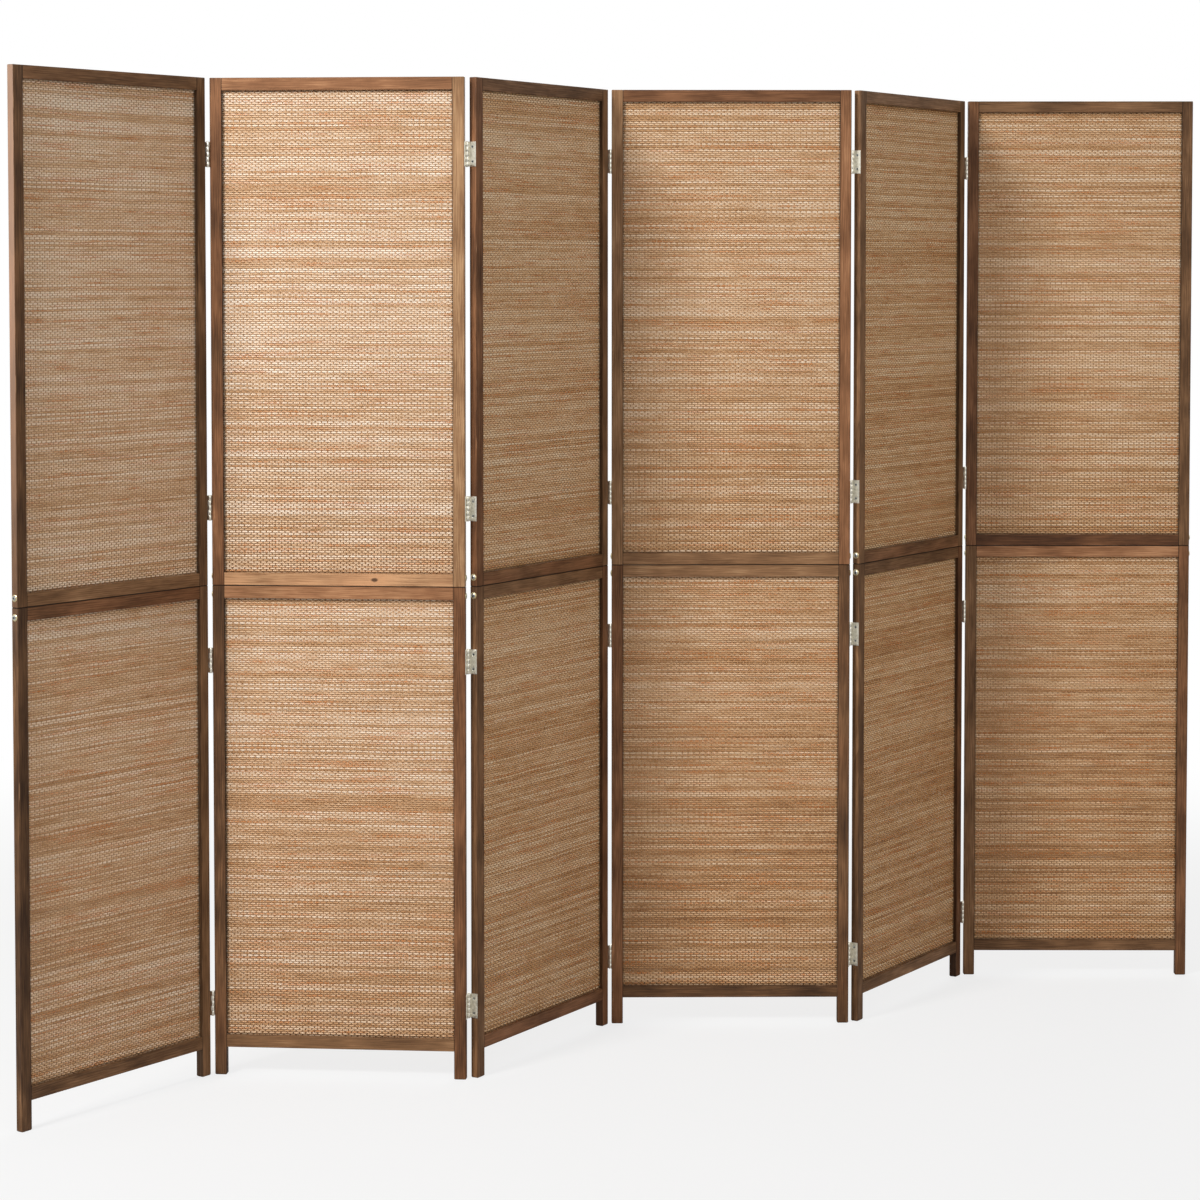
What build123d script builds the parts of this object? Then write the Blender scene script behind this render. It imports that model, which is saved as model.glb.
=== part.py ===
from build123d import *
from math import sqrt
import os

# A six-panel folding screen. Every panel is two wooden frames, one standing on the other,
# each holding a woven mat in a groove. The panels are joined edge to edge by small butt hinges.
# Millimetres, Z up, floor at Z = 0, the front of the screen faces -Y.
# A panel's own frame has X along its width from its left edge, Y from its front face to its back.

# Panels
panel_count = 6
screen_height = 1700.0
panel_width = 433.0
panel_depth = 14.0

# How far each fold is turned from flat as the screen stands, and where the first panel points
fold_angles = (58.3, 63.7, 58.3, 56.9, 57.9)
first_panel_angle = 53.3

# Frames
seam_height = 841.0
foot_length = 48.0
stile_width = 20.5
rail_height = 21.5
seam_relief = 0.4
outer_edge_radius = 1.8
end_chamfer = 0.8
foot_chamfer = 1.5
rail_edge_chamfer = 0.5

# Stub tenons of the rails, in mortises of the stiles
tenon_length = 6.0
tenon_thickness = 6.0
tenon_shoulder = 4.0
tenon_clearance = 0.05
tenon_end_gap = 0.3

# Woven mats and the groove that holds them
mat_thickness = 3.2
mat_face_clearance = 0.15
mat_edge_gap = 0.9
groove_depth = 6.0

# Round pegs that line up the two frames of a panel, one in each stile
peg_radius = 3.0
peg_half_length = 30.0
peg_clearance = 0.05
peg_end_gap = 1.0

# Hinges: two on the upper frames and two on the lower frames of every fold
edge_gap = 5.0
pin_setout = 2.8
leaf_height = 42.0
leaf_thickness = 1.0
leaf_margin = 0.6
knuckle_count = 5
knuckle_gap = 0.3
knuckle_notch_clearance = 0.3
pin_clearance = 0.05
pin_head_height = 0.7
pin_head_inset = 0.3
hinge_below_top = 129.0
hinge_above_seam = 132.0
hinge_below_seam = 128.0
hinge_above_floor = 124.0

# Countersunk screws of the hinge leaves
leaf_screw_spacing = 25.0
leaf_screw_radius = 1.5
leaf_screw_head_radius = 2.5
leaf_screw_tip_cover = 3.0
leaf_screw_head_inset = 0.02

# Raised-head screws with cup washers that pin each peg above and below the seam
seam_screw_offset = 15.5
seam_screw_radius = 1.75
seam_screw_head_radius = 3.6
seam_screw_crown = 0.7
seam_screw_past_peg_axis = 1.5
cup_radius = 5.75
cup_height = 1.5
cup_base = 0.4
cup_lip = 0.65
cup_clearance = 0.12

# Common to all screws
screw_point_length = 3.0
screw_point_radius = 0.2
screw_hole_clearance = 0.05
screw_hole_spare = 0.4

# Sizes that follow
middle_depth = panel_depth / 2
inner_width = panel_width - 2 * stile_width
groove_width = mat_thickness + 2 * mat_face_clearance
peg_inset = (stile_width - tenon_length - tenon_end_gap) / 2
knuckle_radius = edge_gap / 2
pin_radius = knuckle_radius - leaf_thickness - pin_clearance
knuckle_pitch = leaf_height / knuckle_count
leaf_reach = panel_depth - leaf_margin
hinge_heights = (
    hinge_above_floor,
    seam_height - hinge_below_seam,
    seam_height + hinge_above_seam,
    screen_height - hinge_below_top,
)

# A frame is its stiles' ends and the undersides of its two rails
lower_frame = (0.0, seam_height, foot_length, seam_height - seam_relief - rail_height)
upper_frame = (seam_height, screen_height, seam_height + seam_relief, screen_height - rail_height)


def block(low, high):
    """A box between two opposite corners."""
    size = [b - a for a, b in zip(low, high)]
    middle = [(a + b) / 2 for a, b in zip(low, high)]
    return Pos(*middle) * Box(*size)


def turned(*profile):
    """A solid turned about Z from (radius, height) corners."""
    corners = [(radius, 0, height) for radius, height in profile]
    face = make_face(Polyline(*corners, close=True))
    return revolve(face, Axis.Z)


def tube(outer_radius, inner_radius, length):
    """A round tube centred on its axis, Z."""
    return Cylinder(outer_radius, length) - Cylinder(inner_radius, length)


def mat_limits(frame):
    """The heights between which a frame's grooves hold its mat."""
    low_rail, high_rail = frame[2:]
    return low_rail + rail_height - groove_depth, high_rail + groove_depth


def tenon_limits(frame):
    """The heights of the tenons of a frame's lower and upper rail."""
    low_rail, high_rail = frame[2:]
    groove_low, groove_high = mat_limits(frame)
    high_rail_top = high_rail + rail_height
    return (low_rail + tenon_shoulder, groove_low), (groove_high, high_rail_top - tenon_shoulder)


def centred_in_depth(thickness):
    """Front and back of something set in the middle of the panel's depth."""
    return middle_depth - thickness / 2, middle_depth + thickness / 2


def stile_bar(bottom, top, bottom_chamfer):
    """The plain bar of a left stile, rounded along its outer edge and bevelled at its ends."""
    bar = block((0, 0, bottom), (stile_width, panel_depth, top))
    outer_edges = bar.edges().filter_by(Axis.Z).sort_by(Axis.X)[:2]
    bar = fillet(outer_edges, outer_edge_radius)
    bar = chamfer(bar.faces().sort_by(Axis.Z)[-1].edges(), end_chamfer)
    return chamfer(bar.faces().sort_by(Axis.Z)[0].edges(), bottom_chamfer)


def mat_groove(frame):
    """The groove for the mat in a left stile."""
    front, back = centred_in_depth(groove_width)
    low, high = mat_limits(frame)
    return block((stile_width - groove_depth, front, low), (stile_width, back, high))


def mortises(frame):
    """The two pockets for the rails' tenons in a left stile."""
    front, back = centred_in_depth(tenon_thickness + 2 * tenon_clearance)
    floor = stile_width - tenon_length - tenon_end_gap
    pockets = []
    for low, high in tenon_limits(frame):
        corner = (floor, front, low - tenon_clearance)
        opposite = (stile_width, back, high + tenon_clearance)
        pockets.append(block(corner, opposite))
    return pockets


def peg_hole(frame):
    """The hole for the peg at the seam end of a left stile. The peg stands on the lower one's floor."""
    bottom = seam_height
    top = seam_height + peg_half_length + peg_end_gap
    if frame is lower_frame:
        bottom = seam_height - peg_half_length
        top = seam_height
    hole = Cylinder(peg_radius + peg_clearance, top - bottom)
    return Pos(peg_inset, middle_depth, (bottom + top) / 2) * hole


def left_stile(frame):
    bottom, top = frame[:2]
    bottom_chamfer = foot_chamfer if frame is lower_frame else end_chamfer
    bar = stile_bar(bottom, top, bottom_chamfer)
    return bar - [mat_groove(frame), peg_hole(frame)] - mortises(frame)


def on_right(piece):
    """A left-hand piece turned half round, to stand at the panel's right edge."""
    return Pos(panel_width, panel_depth, 0) * Rot(0, 0, 180) * piece


def folds_to_front(fold):
    """Folds take turns: the first closes front to front, the next back to back."""
    return fold % 2 == 0


def edge_place(right_edge, to_front):
    """A frame on an edge face: X out of the face, Y into the depth from the hinge pin's side."""
    x = panel_width if right_edge else 0.0
    y = 0.0 if to_front else panel_depth
    turns = {
        (True, True): Rot(0, 0, 0),
        (False, True): Rot(0, 180, 0),
        (True, False): Rot(180, 0, 0),
        (False, False): Rot(0, 0, 180),
    }
    return Pos(x, y, 0) * turns[right_edge, to_front]


def raised(place, height):
    """A place moved straight up."""
    return Pos(0, 0, height) * place


def hinge_places(panel):
    """(place, has the outer knuckles) of every hinge leaf on a panel, counted from 0."""
    places = []
    for right_edge, fold in ((False, panel - 1), (True, panel)):
        if 0 <= fold < panel_count - 1:
            place = edge_place(right_edge, folds_to_front(fold))
            places += [(raised(place, height), right_edge) for height in hinge_heights]
    return places


def leaf_screw_places(panel):
    """Where each hinge screw goes in: on the stile's face, Z out of the wood."""
    places = []
    for place, _ in hinge_places(panel):
        for side in (-1, 1):
            seat = Pos(0, middle_depth, side * leaf_screw_spacing / 2)
            places.append(place * seat * Rot(0, 90, 0))
    return places


def seam_screw_places():
    """Where each seam screw goes in: on the stile's outer face, Z out of the wood."""
    places = []
    for right_edge in (False, True):
        for side in (-1, 1):
            place = raised(edge_place(right_edge, True), seam_height + side * seam_screw_offset)
            places.append(place * Pos(0, middle_depth, 0) * Rot(0, 90, 0))
    return places


def screw_hole(radius, depth):
    """A round hole from Z = 0 down."""
    length = depth + screw_hole_spare
    return Pos(0, 0, -length / 2) * Cylinder(radius + screw_hole_clearance, length)


def leaf_screw_depth():
    """How deep a hinge screw reaches into its stile. Its tip stays clear of the groove."""
    return stile_width - groove_depth - leaf_screw_tip_cover


def leaf_screw():
    """A countersunk screw, its head flush with the leaf."""
    tip = -leaf_screw_depth()
    top = leaf_thickness - leaf_screw_head_inset
    return turned(
        (0, tip),
        (screw_point_radius, tip),
        (leaf_screw_radius, tip + screw_point_length),
        (leaf_screw_radius, top - (leaf_screw_head_radius - leaf_screw_radius)),
        (leaf_screw_head_radius, top),
        (0, top),
    )


def leaf_screw_opening():
    """What a hinge leaf is cut with to take a screw."""
    shank = leaf_screw_radius + screw_hole_clearance
    head = leaf_screw_head_radius + screw_hole_clearance
    sunk_to = leaf_thickness - (head - shank)
    return turned(
        (0, min(0, sunk_to) - screw_hole_spare),
        (shank, min(0, sunk_to) - screw_hole_spare),
        (shank, sunk_to),
        (head, leaf_thickness),
        (head, leaf_thickness + screw_hole_spare),
        (0, leaf_thickness + screw_hole_spare),
    )


def seam_screw_depth():
    """How deep a seam screw reaches into its stile. It stops inside the peg."""
    return peg_inset + seam_screw_past_peg_axis


def seam_screw():
    """A screw with a low domed head that sits in its cup washer."""
    tip = -seam_screw_depth()
    rim = seam_screw_head_radius
    top = cup_height + seam_screw_crown
    outline = Polyline(
        (rim, 0, cup_height),
        (seam_screw_radius, 0, 0),
        (seam_screw_radius, 0, tip + screw_point_length),
        (screw_point_radius, 0, tip),
        (0, 0, tip),
        (0, 0, top),
    )
    dome = ThreePointArc((0, 0, top), dome_point(rim / 2), (rim, 0, cup_height))
    return revolve(make_face(outline + dome), Axis.Z)


def dome_point(radius):
    """A point on the ball that a seam screw's head is cut from."""
    ball = (seam_screw_head_radius**2 + seam_screw_crown**2) / (2 * seam_screw_crown)
    drop = ball - sqrt(ball**2 - radius**2)
    return (radius, 0, cup_height + seam_screw_crown - drop)


def cup_washer():
    """A dished washer around a seam screw, with its broad side on the wood."""
    hole_top = seam_screw_head_radius + cup_clearance
    return turned(
        (seam_screw_radius + cup_clearance, 0),
        (cup_radius, 0),
        (cup_radius, cup_base),
        (hole_top + cup_lip, cup_height),
        (hole_top, cup_height),
    )


def cut_with(piece, tools):
    """A piece less the tools that reach it."""
    box = piece.bounding_box()
    near = [tool for tool in tools if box.overlaps(tool.bounding_box())]
    return piece - near if near else piece


def screw_holes(panel):
    """Every screw's hole in a panel's wood."""
    leaf_hole = screw_hole(leaf_screw_radius, leaf_screw_depth())
    seam_hole = screw_hole(seam_screw_radius, seam_screw_depth())
    holes = [place * leaf_hole for place in leaf_screw_places(panel)]
    return holes + [place * seam_hole for place in seam_screw_places()]


def stiles(panel, frame):
    left = left_stile(frame)
    holes = screw_holes(panel)
    return [cut_with(left, holes), cut_with(on_right(left), holes)]


def rails(frame):
    """The two rails of a frame, butted between the stiles, with a tenon at each end."""
    pieces = []
    groove_front, groove_back = centred_in_depth(groove_width)
    tenon_front, tenon_back = centred_in_depth(tenon_thickness)
    tenon_start = stile_width - tenon_length
    for bottom, tenon in zip(frame[2:], tenon_limits(frame)):
        right_end = stile_width + inner_width
        bar = block((stile_width, 0, bottom), (right_end, panel_depth, bottom + rail_height))
        bar = chamfer(bar.edges().filter_by(Axis.X), rail_edge_chamfer)
        tongue_low = (tenon_start, tenon_front, tenon[0])
        tongue = block(tongue_low, (panel_width - tenon_start, tenon_back, tenon[1]))
        groove_low, groove_high = mat_limits(frame)
        groove_start = (stile_width, groove_front, groove_low)
        groove = block(groove_start, (right_end, groove_back, groove_high))
        pieces.append(bar + tongue - groove)
    return pieces


def mat(frame):
    """A woven mat as a plain sheet, standing in the lower rail's groove."""
    front, back = centred_in_depth(mat_thickness)
    low, high = mat_limits(frame)
    inset = stile_width - groove_depth + mat_edge_gap
    return block((inset, front, low), (panel_width - inset, back, high - mat_edge_gap))


def pegs():
    """The two pegs across a panel's seam, drilled by the seam screws."""
    bar = Pos(peg_inset, middle_depth, seam_height) * Cylinder(peg_radius, 2 * peg_half_length)
    hole = screw_hole(seam_screw_radius, seam_screw_depth())
    holes = [place * hole for place in seam_screw_places()]
    return [cut_with(bar, holes), cut_with(on_right(bar), holes)]


def knuckle_spans(outer):
    """(low, high) of a leaf's knuckles: every other one, the outer leaf having the end ones."""
    first = 0 if outer else 1
    spans = []
    for number in range(first, knuckle_count, 2):
        low = number * knuckle_pitch - leaf_height / 2
        spans.append((low, low + knuckle_pitch))
    return spans


def hinge_leaf(outer):
    """A leaf on an edge face with its knuckles, notched where the other leaf's knuckles turn."""
    low = (0, -pin_setout, -leaf_height / 2)
    plate = block(low, (leaf_thickness, leaf_reach, leaf_height / 2))
    axis = Pos(knuckle_radius, -pin_setout, 0)
    barrel = axis * tube(knuckle_radius, pin_radius + pin_clearance, leaf_height)
    notch_radius = knuckle_radius + knuckle_notch_clearance
    notches = [
        axis * Pos(0, 0, (low + high) / 2) * Cylinder(notch_radius, high - low + knuckle_gap)
        for low, high in knuckle_spans(not outer)
    ]
    openings = [
        Pos(0, middle_depth, side * leaf_screw_spacing / 2) * Rot(0, 90, 0) * leaf_screw_opening()
        for side in (-1, 1)
    ]
    return plate + barrel - notches - openings


def hinge_leaves(panel):
    shapes = {True: hinge_leaf(True), False: hinge_leaf(False)}
    return [place * shapes[outer] for place, outer in hinge_places(panel)]


def hinge_pin():
    """A hinge pin with a flat head at each end, against the outer leaf's end knuckles."""
    half = leaf_height / 2
    head = knuckle_radius - pin_head_inset
    return turned(
        (0, -half - pin_head_height),
        (head, -half - pin_head_height),
        (head, -half),
        (pin_radius, -half),
        (pin_radius, half),
        (head, half),
        (head, half + pin_head_height),
        (0, half + pin_head_height),
    )


def hinge_pins(panel):
    """The pins of the fold at a panel's right edge."""
    pin = Pos(knuckle_radius, -pin_setout, 0) * hinge_pin()
    return [place * pin for place, outer in hinge_places(panel) if outer]


def fixings(panel):
    """A panel's hinge screws, seam screws and cup washers."""
    leaf_screws = [place * leaf_screw() for place in leaf_screw_places(panel)]
    seam_screws = [place * seam_screw() for place in seam_screw_places()]
    cups = [place * cup_washer() for place in seam_screw_places()]
    return leaf_screws + seam_screws + cups


def fold_place(fold):
    """Where a fold's axis stands in the frame of the panel on its left."""
    depth = -pin_setout if folds_to_front(fold) else panel_depth + pin_setout
    return Pos(panel_width + edge_gap / 2, depth, 0)


def step_to_next_panel(fold):
    """From one panel's frame to the next one's, as the screen stands."""
    turn = -fold_angles[fold] if folds_to_front(fold) else fold_angles[fold]
    in_next_panel = fold_place(fold) * Pos(-panel_width - edge_gap, 0, 0)
    return fold_place(fold) * Rot(0, 0, turn) * in_next_panel.inverse()


def panel_places():
    """Each panel's frame, with the screen's footprint centred on the origin."""
    places = [Location((0, 0, 0), (0, 0, first_panel_angle))]
    for fold in range(panel_count - 1):
        places.append(places[-1] * step_to_next_panel(fold))
    corners = [
        (place * Pos(x, y, 0)).position
        for place in places
        for x in (0, panel_width)
        for y in (0, panel_depth)
    ]
    middle_x = (min(c.X for c in corners) + max(c.X for c in corners)) / 2
    middle_y = (min(c.Y for c in corners) + max(c.Y for c in corners)) / 2
    return [Pos(-middle_x, -middle_y, 0) * place for place in places]


def panel_pieces(panel):
    """Every node of one panel in the panel's own frame, by name."""
    name = f"panel_{panel + 1}"
    pieces = {
        f"{name}_lower_stiles": stiles(panel, lower_frame),
        f"{name}_lower_rails": rails(lower_frame),
        f"{name}_lower_mat": [mat(lower_frame)],
        f"{name}_upper_stiles": stiles(panel, upper_frame),
        f"{name}_upper_rails": rails(upper_frame),
        f"{name}_upper_mat": [mat(upper_frame)],
        f"{name}_seam_pegs": pegs(),
        f"{name}_hinge_leaves": hinge_leaves(panel),
        f"{name}_fixings": fixings(panel),
    }
    if panel < panel_count - 1:
        pieces[f"fold_{panel + 1}_{panel + 2}_pins"] = hinge_pins(panel)
    return pieces


def main():
    os.makedirs("parts", exist_ok=True)
    for panel, place in enumerate(panel_places()):
        for node, solids in panel_pieces(panel).items():
            placed = [place * solid for solid in solids]
            shape = placed[0] if len(placed) == 1 else Compound(placed)
            export_step(shape, f"parts/{node}.step")


if __name__ == "__main__":
    main()
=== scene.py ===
"""Dresses a six-panel folding screen: stained wood, wickerwork mats, plated hinges and screws.

Metres, Z up, floor at Z = 0, the front of the screen faces -Y. What belongs to one panel is made in
that panel's own frame: origin on the floor under the panel's middle, X along its width, Y into its
depth, Z up.
"""

import math

import bpy
import numpy as np
from mathutils import Matrix, Vector


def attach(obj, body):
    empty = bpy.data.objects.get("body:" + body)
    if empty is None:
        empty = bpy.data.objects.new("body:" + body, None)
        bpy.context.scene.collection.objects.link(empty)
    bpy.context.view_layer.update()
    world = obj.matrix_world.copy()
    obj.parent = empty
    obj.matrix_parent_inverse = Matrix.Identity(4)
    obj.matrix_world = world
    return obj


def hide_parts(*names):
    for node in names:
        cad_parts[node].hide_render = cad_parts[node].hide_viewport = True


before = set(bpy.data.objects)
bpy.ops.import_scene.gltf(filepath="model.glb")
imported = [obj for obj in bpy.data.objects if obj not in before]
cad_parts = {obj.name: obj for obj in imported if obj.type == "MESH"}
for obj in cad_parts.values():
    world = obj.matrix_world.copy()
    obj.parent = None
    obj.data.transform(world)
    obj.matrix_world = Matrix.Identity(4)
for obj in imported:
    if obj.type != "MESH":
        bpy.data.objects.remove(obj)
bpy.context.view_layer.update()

MM = 0.001
PANELS = range(1, 7)
TIERS = ("lower", "upper")

# Wickerwork: straight upright stakes, with flat strands that pass them in front and behind by turns
STAKE_PITCH = 5.3 * MM
STAKE_WIDTH = 2.0 * MM
STAKE_UNEVEN = 0.5 * MM
STAKE_THICKNESS = 0.9 * MM
STAKE_SIDES = 8
STRAND_PITCH = 3.6 * MM
STRAND_THICKNESS = 1.15 * MM
STRAND_SIDES = 4
STRAND_SWING = 1.0 * MM
STRAND_FILL = 1.12
STRAND_UNEVEN = 0.10
STRAND_DRIFT = 0.7 * MM
MAP_NAME = "OFBake"
KEY_NAME = "strand_key"
EDGE_NAME = "strand_edge"

# Share of a strand's band on the map that its walls take, and the bare margin between bands
END_PATCH = 0.94
BAND_MARGIN = 0.08

# How pale each panel's bamboo has gone, 0 to 1
BLEACHED = {1: 0.69, 2: 0.65, 3: 0.68, 4: 0.56, 5: 0.64, 6: 0.555}

# How warm each panel's bamboo is, 0 to 1
WARMTH = {1: 0.2, 2: 0.0, 3: 0.8, 4: 0.3, 5: 1.0, 6: 0.4}

# Growth rings round a pith that lies beside and behind the bar, and wanders along it
RING_WIDTH = 3.4 * MM
PITH_BESIDE = (18 * MM, 46 * MM)
PITH_BEHIND = 12 * MM
PITH_WANDER = 34 * MM

# Common tone of the bars, 0 to 1, and the bars that stand out from it: (node, number of the bar)
COMMON_TONE = (0.34, 0.5)
BAR_TONES = {
    ("panel_1_lower_stiles", 0): 0.2,
    ("panel_1_upper_stiles", 0): 0.3,
    ("panel_2_lower_stiles", 0): 0.3,
    ("panel_2_lower_rails", 0): 0.52,
    ("panel_2_lower_rails", 1): 0.69,
    ("panel_2_upper_stiles", 1): 0.7,
    ("panel_2_upper_rails", 0): 0.9,
    ("panel_2_upper_rails", 1): 0.62,
    ("panel_4_lower_rails", 0): 0.28,
    ("panel_4_lower_rails", 1): 0.62,
    ("panel_4_upper_stiles", 0): 0.6,
    ("panel_4_upper_stiles", 1): 0.56,
    ("panel_4_upper_rails", 0): 0.55,
    ("panel_6_lower_rails", 1): 0.7,
    ("panel_6_upper_rails", 0): 0.24,
}

# A dark knot in the lower bar of a node of rails, as (x, z) from the middle of that bar, and its size
KNOTS = {"panel_2_upper_rails": (0.062, 0.0)}
KNOT_CORE = 2.0 * MM
KNOT_RIM = 4.6 * MM

# Dirt and painted shade where a mat meets its frame, a dark line where a rail meets a stile that runs on
# as painted shade down the stiles' inner edges, and painted shade at the seam
EDGE_LINE = 2.4 * MM
JOINT_LINE = 1.0 * MM
SEAM_LINE = 1.3 * MM

# Softened arrises of the CAD solids
WOOD_ARRIS = 0.35 * MM
METAL_ARRIS = 0.15 * MM
WELD_WITHIN = 0.002 * MM

# Screws: a blunt point, a round shank and a countersunk head. The seam screws, whose heads are the
# larger ones, have a raised head. Shares are of the head's radius.
RAISED_HEAD_FROM = 3.0 * MM
POINT_RADIUS = 0.2 * MM
POINT_LENGTH = 3.0 * MM
RAISED_SHANK_SHARE = 0.486
RAISED_RIM_SHARE = 0.96
RAISED_RIM_HEIGHT = 0.15 * MM
RAISED_CONE = 1.5 * MM
RAISED_DOME = 0.7 * MM
FLAT_SHANK_SHARE = 0.6
FLAT_DOME = 0.1 * MM
HEAD_RINGS = (0.9, 0.76)
ROUND_SIDES = 32
SCREW_SEED = 90

# Cross recess of the screws, as shares of the head's radius
RECESS_REACH = 0.58
RECESS_HALF_WIDTH = 0.2
RECESS_DEPTH = 0.42
RECESS_TAPER = 0.45
RECESS_POINT = 1.15

# Washers: the hole's share of the radius, and the brim's share of the height
WASHER_HOLE = 0.34
WASHER_BRIM = 0.2
WASHER_INNER_LIP = 0.3 * MM

# Faces with a wider angle between them keep a sharp edge
SHARP_FROM = math.radians(32)
BEVEL_FROM = math.radians(35)

# The photograph's camera. Its verticals are upright, which would take a level camera and a larger
# lens shift. Other views keep the shift, so the camera looks down a little instead.
LENS = 91.1
SENSOR = 36.0
LENS_SHIFT = -0.16
CAMERA_AT = (-0.1329, -5.3403, 1.3826)
CAMERA_PITCH = -2.674
CAMERA_TURN = -0.302

# Studio lamps: a key from the left front, a weak fill, and one behind for the backs
KEY_AT = (-2.8, -3.0, 3.5)
KEY_AIM = (-0.3, 0.0, 1.0)
KEY_SIZE = 0.9
KEY_WATTS = 170
FILL_AT = (1.2, -5.0, 2.6)
FILL_AIM = (0.0, 0.0, 0.8)
FILL_WATTS = 36
BACK_AT = (0.8, 4.2, 3.2)
BACK_AIM = (0.0, 0.0, 0.9)
BACK_WATTS = 90
SOFT_SIZE = 3.0
SKY_LIGHT = 0.48

# The floor fades to the white backdrop between these distances from its middle
FLOOR_NEAR = 1.6
FLOOR_FAR = 3.6
FLOOR_WHITE = 0.76
FLOOR_HALF = 40.0
FLOOR_DARK = (0.6, 0.6, 0.6, 1)
FLOOR_PALE = (0.64, 0.64, 0.64, 1)


def linear(red, green, blue):
    """A screen colour of 0 to 255 as the linear colour that a shader takes."""

    def one(value):
        share = value / 255
        return share / 12.92 if share <= 0.04045 else ((share + 0.055) / 1.055) ** 2.4

    return (one(red), one(green), one(blue), 1.0)


class Shade:
    """A material, and short ways to add nodes to it. A value is a number or another node's output."""

    def __init__(self, name):
        self.material = bpy.data.materials.new(name)
        self.material.use_nodes = True
        self.tree = self.material.node_tree
        self.shader = self.tree.nodes["Principled BSDF"]

    def node(self, kind, *values, **settings):
        made = self.tree.nodes.new(f"ShaderNode{kind}")
        for name, value in settings.items():
            setattr(made, name, value)
        for socket, value in zip(made.inputs, values):
            self.put(socket, value)
        return made

    def put(self, socket, value):
        if value is None:
            return
        if isinstance(value, bpy.types.NodeSocket):
            self.tree.links.new(value, socket)
        else:
            socket.default_value = value

    def math(self, operation, *values):
        return self.node("Math", *values, operation=operation).outputs[0]

    def add(self, a, b):
        return self.math("ADD", a, b)

    def times(self, a, b):
        return self.math("MULTIPLY", a, b)

    def swing(self, value, width):
        """A noise of about 0.5 as a swing of this width about 0."""
        return self.times(self.math("SUBTRACT", value, 0.5), width)

    def fit(self, value, low, high, new_low=0.0, new_high=1.0):
        """The value moved from one range to another, held at the ends."""
        made = self.node("MapRange", value, low, high, new_low, new_high)
        made.interpolation_type = "SMOOTHSTEP"
        return made.outputs[0]

    def vector(self, x, y, z):
        return self.node("CombineXYZ", x, y, z).outputs[0]

    def split(self, vector):
        return self.node("SeparateXYZ", vector).outputs[:]

    def noise(self, vector, scale, detail=2.0, roughness=0.5):
        made = self.node("TexNoise")
        self.put(made.inputs["Vector"], vector)
        made.inputs["Scale"].default_value = scale
        made.inputs["Detail"].default_value = detail
        made.inputs["Roughness"].default_value = roughness
        return made.outputs["Fac"]

    def ramp(self, value, *stops):
        """A colour that runs through (place, colour) stops."""
        made = self.node("ValToRGB", value)
        elements = made.color_ramp.elements
        while len(elements) < len(stops):
            elements.new(0.5)
        for element, (place, colour) in zip(elements, stops):
            element.position = place
            element.color = colour
        return made.outputs[0]

    def mix(self, share, a, b, blend="MIX"):
        made = self.node("Mix", data_type="RGBA", blend_type=blend)
        self.put(made.inputs["Factor"], share)
        colours = [socket for socket in made.inputs if socket.type == "RGBA"]
        self.put(colours[0], a)
        self.put(colours[1], b)
        return next(socket for socket in made.outputs if socket.type == "RGBA")

    def darker(self, colour, share, strength):
        """A colour taken down by strength where share is 1."""
        keep = self.math("SUBTRACT", 1.0, self.times(share, strength))
        grey = self.vector(keep, keep, keep)
        return self.mix(1.0, colour, grey, "MULTIPLY")

    def bump(self, height, depth, strength=1.0):
        made = self.node("Bump")
        made.inputs["Strength"].default_value = strength
        made.inputs["Distance"].default_value = depth
        self.put(made.inputs["Height"], height)
        self.put(self.shader.inputs["Normal"], made.outputs[0])

    def set(self, **values):
        for name, value in values.items():
            self.put(self.shader.inputs[name.replace("_", " ")], value)

    def place_in(self, panel_place):
        """The surface point in a panel's frame: as it is on a piece made there, or worked out."""
        point = self.node("TexCoord").outputs["Object"]
        if panel_place is None:
            return point
        made = self.node("Mapping", point, vector_type="TEXTURE")
        made.inputs["Location"].default_value = panel_place.translation
        made.inputs["Rotation"].default_value = panel_place.to_euler()
        return made.outputs[0]


def panel_place(panel):
    """The panel's frame, read from its lower mat, which stands in the panel's middle."""
    points = np.array([v.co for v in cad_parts[f"panel_{panel}_lower_mat"].data.vertices])
    middle = (points.min(0) + points.max(0)) / 2
    plan = (points - middle)[:, :2]
    along = np.linalg.svd(plan, full_matrices=False)[2][0]
    along = along * np.sign(along[0])
    turn = Matrix.Rotation(math.atan2(along[1], along[0]), 4, "Z")
    return Matrix.Translation((middle[0], middle[1], 0)) @ turn


def node_points(node, place):
    """A CAD node's vertices in a panel's frame."""
    inverse = np.array(place.inverted())
    points = np.array([v.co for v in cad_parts[node].data.vertices])
    return points @ inverse[:3, :3].T + inverse[:3, 3]


def node_limits(node, place):
    points = node_points(node, place)
    return points.min(0), points.max(0)


def stile_lines(panel, place):
    """Distance of the stiles' outer and inner edges from a panel's middle, and the seam's height."""
    low, high = max(solids_of(f"panel_{panel}_lower_stiles", place), key=lambda bar: bar[0][0])
    return float(high[0]), float(low[0]), float(high[2])


def mat_edges(panel, place):
    """Heights of the rails' edges that the panel's two mats meet."""
    heights = []
    for tier in TIERS:
        rails = sorted(solids_of(f"panel_{panel}_{tier}_rails", place), key=lambda bar: bar[0][2])
        heights += [float(rails[0][1][2]), float(rails[1][0][2])]
    return heights


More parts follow.
